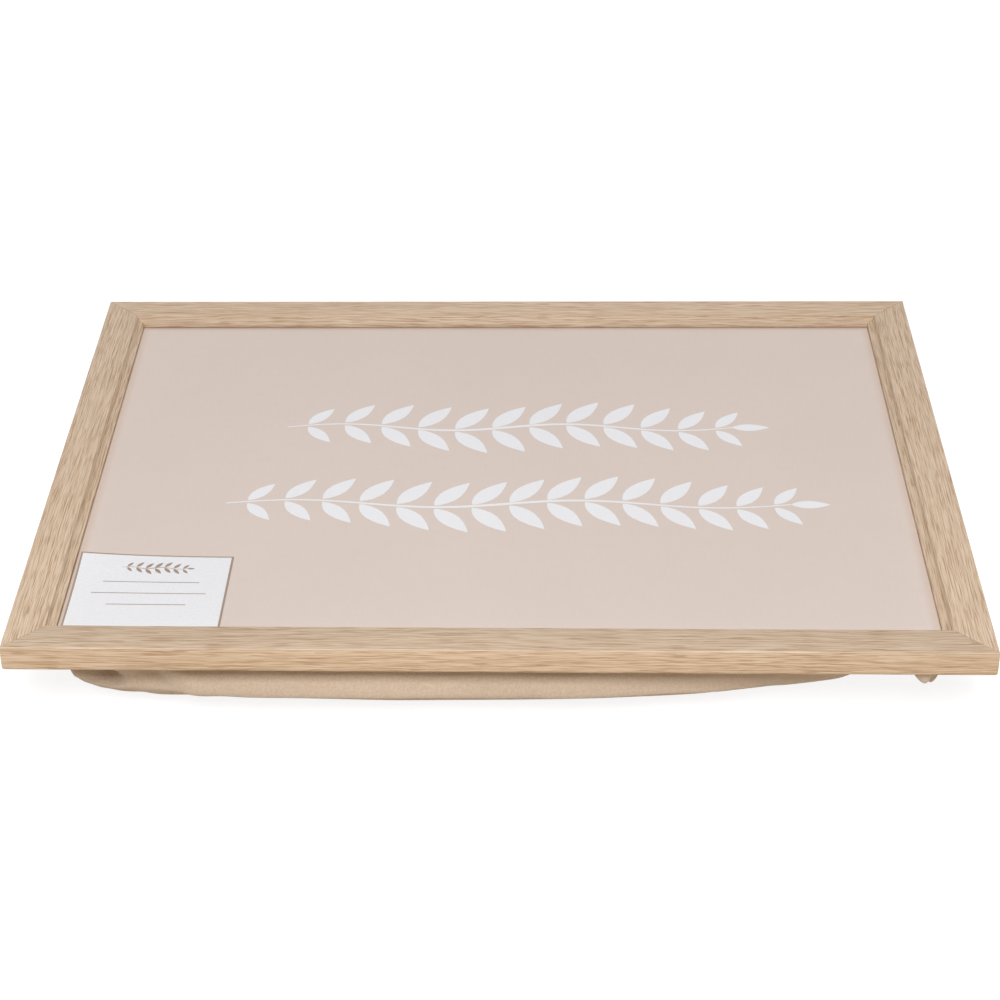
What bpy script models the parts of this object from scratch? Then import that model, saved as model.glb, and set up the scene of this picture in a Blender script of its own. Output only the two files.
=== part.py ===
"""A lap tray: a mitred oak-effect frame round a printed panel, with a bead-filled bag under it.

Lengths are in metres. The origin is on the table under the middle of the tray. +X runs along the
tray to the right, +Y to its back edge and +Z up.
"""
import math

import bmesh
import bpy
from mathutils import Matrix, Vector

# Whole tray
TRAY_LENGTH = 0.430
TRAY_DEPTH = 0.330
TRAY_HEIGHT = 0.060
SEAT_GAP = 0.0003  # air between two pieces that touch
CUT_OVERRUN = 0.001  # how far a cutter runs past the face that it opens

# Rail section
RAIL_HEIGHT = 0.0125
RAIL_FLAT_WIDTH = 0.0171
SLOPE_WIDTH = 0.0041
SLOPE_DROP = 0.0029
TOP_EDGE_RADIUS = 0.001
BOTTOM_EDGE_RADIUS = 0.002
EDGE_STEPS = 4
REBATE_WIDTH = 0.006

# Panel in the rebate
RECESS_DEPTH = 0.0052  # from the top of the rails down to the printed sheet
SHEET_THICKNESS = 0.0003
BOARD_THICKNESS = 0.003
BOARD_EDGE_BEVEL = 0.0003

# Label card in the front left corner of the recess
LABEL_LENGTH = 0.070
LABEL_DEPTH = 0.058
LABEL_THICKNESS = 0.0003
LABEL_SIDE_GAP = 0.0012
LABEL_FRONT_GAP = 0.0011
LABEL_TURN = math.radians(-1.0)

# Bag under the tray
CLOTH_THICKNESS = 0.0006
LINING_THICKNESS = 0.0004
HEM_INSET = 0.008  # from the tray's outer face to the hem's edge
HEM_CORNER_RADIUS = 0.012
BAG_INSET = 0.0175  # from the tray's outer face to where the bag turns down
BAG_CORNER_RADIUS = 0.006
CORNER_STEPS = 4
LONG_SIDE_STEPS = 12
SHORT_SIDE_STEPS = 10
RING_STEPS = 8

# The bag in sixteen directions, anticlockwise from the right: how far its flat foot reaches towards
# the bag's rim, and how straight its side falls before it curls in under the tray.
FOOT_REACH_SHARES = (
    0.76, 0.76, 0.70, 0.75, 0.75, 0.75, 0.70, 0.76,
    0.78, 0.77, 0.66, 0.755, 0.745, 0.73, 0.61, 0.74,
)
SIDE_FULLNESS_SHARES = (
    0.9, 0.9, 0.9, 0.95, 1.0, 0.95, 0.95, 0.9,
    0.9, 0.9, 1.0, 1.0, 1.0, 0.9, 0.6, 0.8,
)

# Ear of slack cloth at the front right corner
EAR_FROM_END = 0.0255
EAR_RADIUS = 0.009
EAR_DROP = 0.012
EAR_HEIGHT_SHARE = 0.5

# Hem staples
LONG_SIDE_STAPLES = 8
SHORT_SIDE_STAPLES = 6
STAPLE_END_MARGIN = 0.040
STAPLE_INSET = 0.0116
STAPLE_CROWN = 0.010
STAPLE_LEG = 0.006
STAPLE_WIRE_WIDTH = 0.0012
STAPLE_WIRE_THICKNESS = 0.0006

# Framer's points under the board
POINT_LENGTH = 0.014
POINT_WIDTH = 0.008
POINT_TIP_LENGTH = 0.004
POINT_TIP_WIDTH = 0.001
POINT_THICKNESS = 0.0005
POINT_BITE = 0.007  # how far a point is driven into the rail

# V-nails across the mitres
V_NAIL_ARM = 0.005
V_NAIL_THICKNESS = 0.0005
V_NAIL_HEIGHT = 0.007
V_NAIL_INSETS = {"outer": 0.005, "inner": 0.0105}

# Heights worked out from the sizes above
RAIL_BOTTOM = TRAY_HEIGHT - RAIL_HEIGHT
SHEET_TOP = TRAY_HEIGHT - RECESS_DEPTH
SHEET_BOTTOM = SHEET_TOP - SHEET_THICKNESS
BOARD_TOP = SHEET_BOTTOM - SEAT_GAP
BOARD_BOTTOM = BOARD_TOP - BOARD_THICKNESS
POINT_TOP = BOARD_BOTTOM - SEAT_GAP
HEM_TOP = RAIL_BOTTOM - SEAT_GAP
HEM_BOTTOM = HEM_TOP - CLOTH_THICKNESS
LINING_BOTTOM = HEM_TOP + SEAT_GAP
FILL_TOP = LINING_BOTTOM - SEAT_GAP
STAPLE_TOP = HEM_BOTTOM - SEAT_GAP

# Distances in from the tray's outer faces
LIP_INSET = RAIL_FLAT_WIDTH + SLOPE_WIDTH
REBATE_INSET = LIP_INSET - REBATE_WIDTH
PANEL_INSET = REBATE_INSET + SEAT_GAP

# The four sides: length of the rail, distance of its outer face from the middle, turn, staples
SIDES = {
    "front": (TRAY_LENGTH, TRAY_DEPTH / 2, 0.0, LONG_SIDE_STAPLES),
    "right": (TRAY_DEPTH, TRAY_LENGTH / 2, math.pi / 2, SHORT_SIDE_STAPLES),
    "back": (TRAY_LENGTH, TRAY_DEPTH / 2, math.pi, LONG_SIDE_STAPLES),
    "left": (TRAY_DEPTH, TRAY_LENGTH / 2, -math.pi / 2, SHORT_SIDE_STAPLES),
}

# The four corners: side along X, side along Y, turn that points both local axes into the tray
CORNERS = {
    "front_left": (-1, -1, 0.0),
    "front_right": (1, -1, math.pi / 2),
    "back_right": (1, 1, math.pi),
    "back_left": (-1, 1, -math.pi / 2),
}


def clear_scene():
    """Remove every object that the file opened with."""
    for obj in list(bpy.data.objects):
        bpy.data.objects.remove(obj, do_unlink=True)


def new_collection(name):
    """A fresh collection in the scene."""
    collection = bpy.data.collections.new(name)
    bpy.context.scene.collection.children.link(collection)
    return collection


def new_material(name, colour, roughness, metallic=0.0):
    """A Principled material with one colour."""
    material = bpy.data.materials.new(name)
    material.use_nodes = True
    shader = material.node_tree.nodes["Principled BSDF"]
    shader.inputs["Base Color"].default_value = (*colour, 1.0)
    shader.inputs["Roughness"].default_value = roughness
    shader.inputs["Metallic"].default_value = metallic
    material.diffuse_color = (*colour, 1.0)
    return material


def new_empty(name, parent=None, location=(0, 0, 0), turn=0.0):
    """An empty that pieces are placed from."""
    empty = bpy.data.objects.new(name, None)
    empty.parent = parent
    empty.location = location
    empty.rotation_euler.z = turn
    PARTS.objects.link(empty)
    return empty


def new_part(name, mesh, material, parent, location=(0, 0, 0), turn=0.0):
    """One sub-part of the tray."""
    part = bpy.data.objects.new(name, mesh)
    if not mesh.materials:
        mesh.materials.append(material)
    part.parent = parent
    part.location = location
    part.rotation_euler.z = turn
    PARTS.objects.link(part)
    return part


def new_cutter(name, mesh, parent):
    """A tool body that is cut out of sub-parts."""
    cutter = bpy.data.objects.new(name, mesh)
    cutter.parent = parent
    cutter.hide_render = True
    cutter.display_type = "WIRE"
    CUTTERS.objects.link(cutter)
    return cutter


def cut(part, cutter):
    """Take the cutter's bodies out of the part."""
    modifier = part.modifiers.new(cutter.name, "BOOLEAN")
    modifier.operation = "DIFFERENCE"
    modifier.solver = "EXACT"
    modifier.object = cutter


def bevel(part, width):
    """Break the part's sharp edges."""
    modifier = part.modifiers.new("edges", "BEVEL")
    modifier.width = width
    modifier.segments = 2
    modifier.limit_method = "ANGLE"


def finished_mesh(name, bm):
    """Turn a bmesh body into a mesh with its faces pointing out."""
    bmesh.ops.recalc_face_normals(bm, faces=bm.faces)
    mesh = bpy.data.meshes.new(name)
    bm.to_mesh(mesh)
    bm.free()
    return mesh


def add_box(bm, low, high):
    """Add the box between two opposite corners."""
    middle = [(a + b) / 2 for a, b in zip(low, high)]
    size = [b - a for a, b in zip(low, high)]
    place = Matrix.Translation(middle) @ Matrix.Diagonal((*size, 1))
    bmesh.ops.create_cube(bm, size=1, matrix=place)


def plate_mesh(name, length, depth, thickness):
    """A flat plate centred on the origin, standing on its underside."""
    bm = bmesh.new()
    add_box(bm, (-length / 2, -depth / 2, 0), (length / 2, depth / 2, thickness))
    return finished_mesh(name, bm)


def prism_mesh(name, outline, thickness):
    """A flat outline in X and Y raised by its thickness."""
    bm = bmesh.new()
    face = bm.faces.new([bm.verts.new((x, y, 0)) for x, y in outline])
    raised = bmesh.ops.extrude_face_region(bm, geom=[face])["geom"]
    top = [item for item in raised if isinstance(item, bmesh.types.BMVert)]
    bmesh.ops.translate(bm, verts=top, vec=(0, 0, thickness))
    return finished_mesh(name, bm)


def arc(centre, radius, start, end, steps):
    """Points on a circular arc, both ends included, angles in degrees."""
    points = []
    for step in range(steps + 1):
        angle = math.radians(start + (end - start) * step / steps)
        points.append((centre[0] + radius * math.cos(angle), centre[1] + radius * math.sin(angle)))
    return points


def rail_section():
    """The rail's section as distances inward and heights, from its outer bottom edge up and over."""
    lip_bottom = SHEET_TOP + SEAT_GAP
    bottom_centre = (BOTTOM_EDGE_RADIUS, RAIL_BOTTOM + BOTTOM_EDGE_RADIUS)
    top_centre = (TOP_EDGE_RADIUS, TRAY_HEIGHT - TOP_EDGE_RADIUS)
    return [
        *arc(bottom_centre, BOTTOM_EDGE_RADIUS, 270, 180, EDGE_STEPS),
        *arc(top_centre, TOP_EDGE_RADIUS, 180, 90, EDGE_STEPS),
        (RAIL_FLAT_WIDTH, TRAY_HEIGHT),
        (LIP_INSET, TRAY_HEIGHT - SLOPE_DROP),
        (LIP_INSET, lip_bottom),
        (REBATE_INSET, lip_bottom),
        (REBATE_INSET, RAIL_BOTTOM),
    ]


def rail_mesh(name, length):
    """A mitred rail along X with its outer face on Y zero."""
    set_back = SEAT_GAP / math.sqrt(2)
    bm = bmesh.new()
    section = rail_section()
    left_end = [bm.verts.new((inward + set_back - length / 2, inward, height)) for inward, height in section]
    face = bm.faces.new(left_end)
    run = bmesh.ops.extrude_face_region(bm, geom=[face])["geom"]
    for vert in run:
        if isinstance(vert, bmesh.types.BMVert):
            vert.co.x = -vert.co.x
    return finished_mesh(name, bm)


def staple_places(length, count):
    """Middles of the staples along a rail."""
    pitch = (length - 2 * STAPLE_END_MARGIN) / (count - 1)
    return [pitch * (index - (count - 1) / 2) for index in range(count)]


def point_places(length, count):
    """Middles of the framer's points, one between every other pair of staples."""
    staples = staple_places(length, count)
    return [(staples[index - 1] + staples[index]) / 2 for index in range(2, count, 2)]


def staple_mesh():
    """A staple with its crown along X and its legs up."""
    half = STAPLE_CROWN / 2
    inner = half - STAPLE_WIRE_THICKNESS
    outline = [
        (-half, -STAPLE_WIRE_THICKNESS),
        (half, -STAPLE_WIRE_THICKNESS),
        (half, STAPLE_LEG),
        (inner, STAPLE_LEG),
        (inner, 0),
        (-inner, 0),
        (-inner, STAPLE_LEG),
        (-half, STAPLE_LEG),
    ]
    mesh = prism_mesh("hem_staple", outline, STAPLE_WIRE_WIDTH)
    stand = Matrix.Rotation(math.pi / 2, 4, "X")
    mesh.transform(Matrix.Translation((0, STAPLE_WIRE_WIDTH / 2, 0)) @ stand)
    return mesh


def point_mesh():
    """A framer's point lying flat, its tip towards the rail at minus Y and its middle line on X zero."""
    half = POINT_WIDTH / 2
    tip = POINT_TIP_WIDTH / 2
    outline = [
        (-tip, 0),
        (tip, 0),
        (half, POINT_TIP_LENGTH),
        (half, POINT_LENGTH),
        (-half, POINT_LENGTH),
        (-half, POINT_TIP_LENGTH),
    ]
    return prism_mesh("holding_point", outline, POINT_THICKNESS)


def v_nail_mesh():
    """A V-nail whose arms run along X and Y from the line where they meet."""
    half = V_NAIL_THICKNESS / 2
    outline = [
        (-half, -half),
        (V_NAIL_ARM, -half),
        (V_NAIL_ARM, half),
        (half, half),
        (half, V_NAIL_ARM),
        (-half, V_NAIL_ARM),
    ]
    return prism_mesh("v_nail", outline, V_NAIL_HEIGHT)


def staple_hole_mesh(name, length, count):
    """The holes of a side's staple legs, through the hem and into the rail."""
    bm = bmesh.new()
    across = STAPLE_WIRE_WIDTH / 2 + SEAT_GAP
    outer = STAPLE_CROWN / 2 + SEAT_GAP
    inner = STAPLE_CROWN / 2 - STAPLE_WIRE_THICKNESS - SEAT_GAP
    bottom = HEM_BOTTOM - CUT_OVERRUN
    top = STAPLE_TOP + STAPLE_LEG + SEAT_GAP
    for place in staple_places(length, count):
        for side in (-1, 1):
            ends = sorted((place + side * inner, place + side * outer))
            low = (ends[0], STAPLE_INSET - across, bottom)
            high = (ends[1], STAPLE_INSET + across, top)
            add_box(bm, low, high)
    return finished_mesh(name, bm)


def fastener_slot_mesh(name, length, count):
    """The slots of a side's framer's points, and of the V-nail arms at both of its ends."""
    bm = bmesh.new()
    half_width = POINT_WIDTH / 2 + SEAT_GAP
    for place in point_places(length, count):
        low = (place - half_width, REBATE_INSET - POINT_BITE - SEAT_GAP, POINT_TOP - POINT_THICKNESS - SEAT_GAP)
        high = (place + half_width, REBATE_INSET + CUT_OVERRUN, POINT_TOP + SEAT_GAP)
        add_box(bm, low, high)
    across = V_NAIL_THICKNESS / 2 + SEAT_GAP
    top = RAIL_BOTTOM + SEAT_GAP + V_NAIL_HEIGHT + SEAT_GAP
    for inset in V_NAIL_INSETS.values():
        for side in (-1, 1):
            near = side * (length / 2 - inset + across)
            far = side * (length / 2 - inset - V_NAIL_ARM - SEAT_GAP)
            low = (min(near, far), inset - across, RAIL_BOTTOM - CUT_OVERRUN)
            high = (max(near, far), inset + across, top)
            add_box(bm, low, high)
    return finished_mesh(name, bm)


def side_points(start, end, steps):
    """Points between two corners, closest together near the corners."""
    points = []
    for step in range(1, steps):
        share = (1 - math.cos(math.pi * step / steps)) / 2
        points.append(tuple(a + (b - a) * share for a, b in zip(start, end)))
    return points


def rounded_outline(inset, radius):
    """A rounded rectangle, a given distance inside the tray's outline, anticlockwise."""
    x = TRAY_LENGTH / 2 - inset - radius
    y = TRAY_DEPTH / 2 - inset - radius
    corners = [
        arc((x, y), radius, 0, 90, CORNER_STEPS),
        arc((-x, y), radius, 90, 180, CORNER_STEPS),
        arc((-x, -y), radius, 180, 270, CORNER_STEPS),
        arc((x, -y), radius, 270, 360, CORNER_STEPS),
    ]
    points = []
    for index, corner in enumerate(corners):
        following = corners[(index + 1) % len(corners)]
        steps = SHORT_SIDE_STEPS if index % 2 else LONG_SIDE_STEPS
        points += corner + side_points(corner[-1], following[0], steps)
    return points


def share_towards(shares, x, y):
    """Read shares that are given in even directions round the bag, on a smooth curve between them."""
    turn = math.atan2(y / (TRAY_DEPTH - 2 * BAG_INSET), x / (TRAY_LENGTH - 2 * BAG_INSET)) / math.tau
    place = (turn % 1) * len(shares)
    index = int(place)
    rest = place - index
    before, here, after, later = (shares[(index + step) % len(shares)] for step in (-1, 0, 1, 2))
    return 0.5 * (
        2 * here
        + (after - before) * rest
        + (2 * before - 5 * here + 4 * after - later) * rest ** 2
        + (3 * here - before - 3 * after + later) * rest ** 3
    )


def ear_drop(x, y, height_share):
    """How much lower the ear of slack cloth hangs here than the bag's plain side."""
    if height_share >= EAR_HEIGHT_SHARE:
        return 0
    away = math.hypot(x - (TRAY_LENGTH / 2 - EAR_FROM_END), y + TRAY_DEPTH / 2 - BAG_INSET)
    if away >= EAR_RADIUS:
        return 0
    round_share = math.cos(math.pi / 2 * away / EAR_RADIUS) ** 2
    return EAR_DROP * round_share * math.sin(math.pi * height_share / EAR_HEIGHT_SHARE)


def bag_ring(height_share):
    """One ring round the outside of the bag, from its rim at 0 to the edge of its flat foot at 1."""
    angle = math.pi / 2 * height_share
    inward = 1 - math.cos(angle)
    ring = []
    for x, y in rounded_outline(BAG_INSET, BAG_CORNER_RADIUS):
        fullness = share_towards(SIDE_FULLNESS_SHARES, x, y)
        scale = 1 + (share_towards(FOOT_REACH_SHARES, x, y) - 1) * inward
        drop = HEM_BOTTOM * (fullness * math.sin(angle) + (1 - fullness) * inward)
        ring.append((x * scale, y * scale, HEM_BOTTOM - drop - ear_drop(x, y, height_share)))
    return ring


def bag_rings():
    """All rings of the bag's side, top to bottom."""
    return [bag_ring(step / RING_STEPS) for step in range(RING_STEPS + 1)]


def loft(bm, rings):
    """Join rings of equal count by quads, and close the last one with a flat face."""
    loops = [[bm.verts.new(point) for point in ring] for ring in rings]
    for upper, lower in zip(loops, loops[1:]):
        for index in range(len(upper)):
            following = (index + 1) % len(upper)
            bm.faces.new((upper[index], lower[index], lower[following], upper[following]))
    bm.faces.new(list(reversed(loops[-1])))
    return loops


def bag_cover_mesh():
    """The outer face of the bag: its hem under the rails, its side and its flat foot."""
    bm = bmesh.new()
    hem = [(x, y, HEM_BOTTOM) for x, y in rounded_outline(HEM_INSET, HEM_CORNER_RADIUS)]
    loft(bm, [hem, *bag_rings()])
    mesh = bpy.data.meshes.new("bag_cover")
    bm.to_mesh(mesh)
    bm.free()
    return mesh


def bead_fill_mesh():
    """The beads: the bag's form drawn in by the cloth and a gap, up to the lining."""
    inset = CLOTH_THICKNESS + SEAT_GAP
    bm = bmesh.new()
    rings = bag_rings()
    top = [(x, y, FILL_TOP + inset) for x, y, _ in rings[0]]
    loops = loft(bm, [top, *rings])
    bm.faces.new(loops[0])
    bmesh.ops.recalc_face_normals(bm, faces=bm.faces)
    moves = [(vert, vert.normal * (inset * vert.calc_shell_factor())) for vert in bm.verts]
    for vert, move in moves:
        vert.co -= move
    return finished_mesh("bead_fill", bm)


def shade_round(mesh):
    """Shade a round form smooth and keep its true edges."""
    mesh.shade_smooth()
    mesh.set_sharp_from_angle(angle=math.radians(40))


def make_panel(tray):
    """The board, its printed sheet and the label card that lies on it."""
    length = TRAY_LENGTH - 2 * PANEL_INSET
    depth = TRAY_DEPTH - 2 * PANEL_INSET
    board = new_part(
        "tray_board", plate_mesh("tray_board", length, depth, BOARD_THICKNESS), RAW_MDF, tray,
        (0, 0, BOARD_BOTTOM),
    )
    bevel(board, BOARD_EDGE_BEVEL)
    new_part(
        "printed_sheet", plate_mesh("printed_sheet", length, depth, SHEET_THICKNESS), PRINTED_PAPER, tray,
        (0, 0, SHEET_BOTTOM),
    )
    label_x = -TRAY_LENGTH / 2 + LIP_INSET + LABEL_SIDE_GAP + LABEL_LENGTH / 2
    label_y = -TRAY_DEPTH / 2 + LIP_INSET + LABEL_FRONT_GAP + LABEL_DEPTH / 2
    new_part(
        "label_card", plate_mesh("label_card", LABEL_LENGTH, LABEL_DEPTH, LABEL_THICKNESS), WHITE_CARD, tray,
        (label_x, label_y, SHEET_TOP + SEAT_GAP), LABEL_TURN,
    )


def make_bag(tray):
    """The bag's cover, the lining that closes it and the beads inside."""
    cover_mesh = bag_cover_mesh()
    shade_round(cover_mesh)
    cover = new_part("bag_cover", cover_mesh, BAG_CLOTH, tray)
    wall = cover.modifiers.new("cloth", "SOLIDIFY")
    wall.thickness = CLOTH_THICKNESS
    wall.offset = -1
    wall.use_even_offset = True
    length = TRAY_LENGTH - 2 * PANEL_INSET
    depth = TRAY_DEPTH - 2 * PANEL_INSET
    new_part(
        "bag_lining", plate_mesh("bag_lining", length, depth, LINING_THICKNESS), LINING_CLOTH, tray,
        (0, 0, LINING_BOTTOM),
    )
    fill_mesh = bead_fill_mesh()
    shade_round(fill_mesh)
    new_part("bead_fill", fill_mesh, FOAM_BEADS, tray)
    return cover


def make_side(name, tray, cover):
    """A rail with its staples and framer's points."""
    length, distance, turn, staple_count = SIDES[name]
    place = Matrix.Rotation(turn, 3, "Z") @ Vector((0, -distance, 0))
    side = new_empty(f"{name}_side", tray, place, turn)
    rail = new_part(f"{name}_rail", rail_mesh(f"{name}_rail", length), OAK_FOIL, side)
    shade_round(rail.data)
    holes = new_cutter(f"{name}_staple_holes", staple_hole_mesh(f"{name}_staple_holes", length, staple_count), side)
    slots = new_cutter(f"{name}_slots", fastener_slot_mesh(f"{name}_slots", length, staple_count), side)
    cut(rail, holes)
    cut(rail, slots)
    cut(cover, holes)
    for number, x in enumerate(staple_places(length, staple_count), 1):
        new_part(f"hem_staple_{name}_{number}", STAPLE, STEEL, side, (x, STAPLE_INSET, STAPLE_TOP))
    tip = REBATE_INSET - POINT_BITE
    for number, x in enumerate(point_places(length, staple_count), 1):
        new_part(f"holding_point_{name}_{number}", POINT, STEEL, side, (x, tip, POINT_TOP - POINT_THICKNESS))


def make_corner(name, tray):
    """The two V-nails across a mitre."""
    side_x, side_y, turn = CORNERS[name]
    corner = new_empty(f"{name}_corner", tray, (side_x * TRAY_LENGTH / 2, side_y * TRAY_DEPTH / 2, 0), turn)
    for which, inset in V_NAIL_INSETS.items():
        new_part(f"v_nail_{name}_{which}", V_NAIL, STEEL, corner, (inset, inset, RAIL_BOTTOM + SEAT_GAP))


clear_scene()
PARTS = new_collection("lap_tray")
CUTTERS = new_collection("cutters")

OAK_FOIL = new_material("oak_foil", (0.60, 0.42, 0.27), 0.5)
PRINTED_PAPER = new_material("printed_paper", (0.66, 0.56, 0.50), 0.6)
RAW_MDF = new_material("raw_mdf", (0.42, 0.29, 0.18), 0.85)
WHITE_CARD = new_material("white_card", (0.86, 0.86, 0.85), 0.5)
BAG_CLOTH = new_material("bag_cloth", (0.53, 0.40, 0.27), 0.9)
LINING_CLOTH = new_material("lining_cloth", (0.62, 0.60, 0.56), 0.9)
FOAM_BEADS = new_material("foam_beads", (0.88, 0.88, 0.87), 0.8)
STEEL = new_material("steel", (0.55, 0.55, 0.56), 0.35, 1.0)

STAPLE = staple_mesh()
POINT = point_mesh()
V_NAIL = v_nail_mesh()

tray_empty = new_empty("lap_tray_origin")
make_panel(tray_empty)
bag_cover = make_bag(tray_empty)
for side_name in SIDES:
    make_side(side_name, tray_empty, bag_cover)
for corner_name in CORNERS:
    make_corner(corner_name, tray_empty)
bpy.context.view_layer.update()
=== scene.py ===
import math

import bmesh
import bpy
import numpy as np
from mathutils import Matrix, Vector


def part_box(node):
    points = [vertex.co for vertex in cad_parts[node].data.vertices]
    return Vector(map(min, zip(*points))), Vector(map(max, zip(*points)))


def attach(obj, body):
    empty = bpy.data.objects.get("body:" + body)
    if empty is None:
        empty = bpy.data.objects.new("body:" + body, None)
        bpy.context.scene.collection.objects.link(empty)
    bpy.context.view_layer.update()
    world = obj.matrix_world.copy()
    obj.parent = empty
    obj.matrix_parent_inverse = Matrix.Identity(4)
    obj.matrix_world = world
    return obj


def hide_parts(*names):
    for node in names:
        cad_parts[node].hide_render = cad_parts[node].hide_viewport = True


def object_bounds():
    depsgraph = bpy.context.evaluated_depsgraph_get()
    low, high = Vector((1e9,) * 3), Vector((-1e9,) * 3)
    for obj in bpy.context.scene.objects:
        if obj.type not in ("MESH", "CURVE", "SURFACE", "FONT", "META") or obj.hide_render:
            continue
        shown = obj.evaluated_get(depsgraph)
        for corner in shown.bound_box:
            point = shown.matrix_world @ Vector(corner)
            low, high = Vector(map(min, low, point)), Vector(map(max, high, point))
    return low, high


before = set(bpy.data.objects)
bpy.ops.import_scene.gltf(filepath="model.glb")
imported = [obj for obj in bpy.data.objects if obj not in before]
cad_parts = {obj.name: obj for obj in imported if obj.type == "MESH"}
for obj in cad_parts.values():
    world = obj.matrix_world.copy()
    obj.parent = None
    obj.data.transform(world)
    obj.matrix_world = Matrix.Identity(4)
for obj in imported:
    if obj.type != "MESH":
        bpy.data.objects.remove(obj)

# A lap tray with an oak-effect frame, a printed panel and a bead-filled bag underneath.
# Lengths are in metres. +X runs along the tray to the right, +Y to its back edge and +Z up.

# Places read from the frame
CAD_LOW, CAD_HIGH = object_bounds()
RAIL_LOW, RAIL_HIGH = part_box("front_rail")
LABEL_LOW, LABEL_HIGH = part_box("label_card")
LINING_LOW, LINING_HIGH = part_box("bag_lining")
BOARD_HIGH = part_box("tray_board")[1]
COVER_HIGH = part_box("bag_cover")[1]
SHEET_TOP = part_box("printed_sheet")[1].z
FILL_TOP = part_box("bead_fill")[1].z
HALF_LENGTH = CAD_HIGH.x
HALF_DEPTH = CAD_HIGH.y
RAIL_TOP = RAIL_HIGH.z
RAIL_BOTTOM = RAIL_LOW.z
LIP_INSET = RAIL_HIGH.y - RAIL_LOW.y
REBATE_INSET = HALF_LENGTH - BOARD_HIGH.x

# Meshes: points within the merge reach become one, and faces that meet at less than the angle, in
# degrees, look smooth
MERGE_REACH = 0.00001
SMOOTH_ANGLE = 40.0

# Rails. Places nearer than SAME_EDGE or SAME_HEIGHT count as one.
RAIL_FLAT_WIDTH = 0.0171
SLOPE_DROP = 0.0029
SLOPE_HOLLOW = ((0.0004, 0.0010), (0.0011, 0.0018), (0.0023, 0.0025))
TOP_EDGE_RADIUS = 0.0005
BOTTOM_EDGE_RADIUS = 0.002
SLOPE_EDGE_RADIUS = 0.0003
LIP_EDGE_RADIUS = 0.0004
MITRE_GAP = 0.00003
MITRE_EDGE = 0.00012
MITRE_EDGE_STEPS = 2
LIP_CLEARANCE = 0.0002
LIP_BOTTOM = SHEET_TOP + LIP_CLEARANCE
RAIL_SMOOTH_ANGLE = 30.0
SAME_EDGE = 0.00002
SAME_HEIGHT = 0.00005

# Each side: half its length, its distance from the tray's middle and its turn
SIDES = {
    "front": (HALF_LENGTH, HALF_DEPTH, 0.0),
    "right": (HALF_DEPTH, HALF_LENGTH, math.pi / 2),
    "back": (HALF_LENGTH, HALF_DEPTH, math.pi),
    "left": (HALF_DEPTH, HALF_LENGTH, -math.pi / 2),
}

# Foil on the rails: where it ends underneath, how far each rail's map is from the last one's, and how
# squarely a face looks down, inwards or along the rail where it is left bare
FOIL_TURN_UNDER = 0.0055
FOIL_MAP_STEP = 0.7
BARE_FACING = 0.9
END_FACING = 0.6

# Rail section and its rounded edges: distance in from the outer face and height, then radius and steps
RAIL_SECTION = (
    (REBATE_INSET, RAIL_BOTTOM),
    (FOIL_TURN_UNDER, RAIL_BOTTOM),
    (0, RAIL_BOTTOM),
    (0, RAIL_TOP),
    (RAIL_FLAT_WIDTH, RAIL_TOP),
    *((RAIL_FLAT_WIDTH + inward, RAIL_TOP - drop) for inward, drop in SLOPE_HOLLOW),
    (LIP_INSET, RAIL_TOP - SLOPE_DROP),
    (LIP_INSET, LIP_BOTTOM),
    (REBATE_INSET, LIP_BOTTOM),
)
RAIL_ROUNDS = (
    (0, RAIL_BOTTOM, BOTTOM_EDGE_RADIUS, 6),
    (0, RAIL_TOP, TOP_EDGE_RADIUS, 5),
    (RAIL_FLAT_WIDTH, RAIL_TOP, SLOPE_EDGE_RADIUS, 4),
    (LIP_INSET, RAIL_TOP - SLOPE_DROP, SLOPE_EDGE_RADIUS, 4),
    (LIP_INSET, LIP_BOTTOM, LIP_EDGE_RADIUS, 3),
)

# Oak grain: features to a metre along and across the rail, how far it wanders and what each part weighs
GRAIN_WANDER = (8, 30)
GRAIN_RIPPLE = (160, 320)
GRAIN_FIBRES = (32, 1600)
GRAIN_HAIRS = (80, 2800)
GRAIN_BANDS = (5, 210)
GRAIN_FLECKS = (70, 1700)
WANDER_REACH = 0.0040
RIPPLE_REACH = 0.0006
FIBRE_SHARE = 0.60
HAIR_SHARE = 0.30
BAND_SHARE = 0.10
PORE_SHARE = 0.65
PORE_DEPTH = 0.5

# Painted highlight on the foil, in patches along the rails' outer top edge
EDGE_HIGHLIGHT_REACH = 0.0006
EDGE_HIGHLIGHT_PATCHES = (14, 0)

# Other finishes: features to a metre, and how strong some of them are
YARN_WOBBLE_SCALE = 260.0
YARN_WOBBLE = 1.5
SLUB_LONG = 90
SLUB_FINE = 2200
HANDLING_BROAD = 11.0
HANDLING_FINE = 160.0
HANDLING_FINE_SHARE = 0.35
MDF_FIBRES = (900, 1400, 1400)
MDF_LUMPS = 240.0
MDF_LUMP_SHARE = 0.35
CARD_FIBRES = 900.0
CLOTH_MOTTLE = 900.0
STEEL_MARKS = (400, 400, 5000)
STEEL_DULL = 700.0
LINEN_THREADS = 1500.0
BAG_THREADS = 2600.0
LINING_THREADS = 1800.0

# Faint painted shade on the panel along the rails' lips
LIP_SHADE_REACH = 0.0042

# Label card: its size, how it lies and curls, and its printed border
LABEL_LENGTH = 0.0706
LABEL_DEPTH = 0.058
LABEL_THICKNESS = LABEL_HIGH.z - LABEL_LOW.z
LABEL_CELLS = (28, 24)
LABEL_TURN = math.radians(-0.5)
LABEL_SHIFT = Vector((0.0007, 0.0004, 0))
LABEL_CURL = 0.0022
LABEL_CURL_POWER = 2.5
LABEL_BORDER = 0.0009

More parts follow.
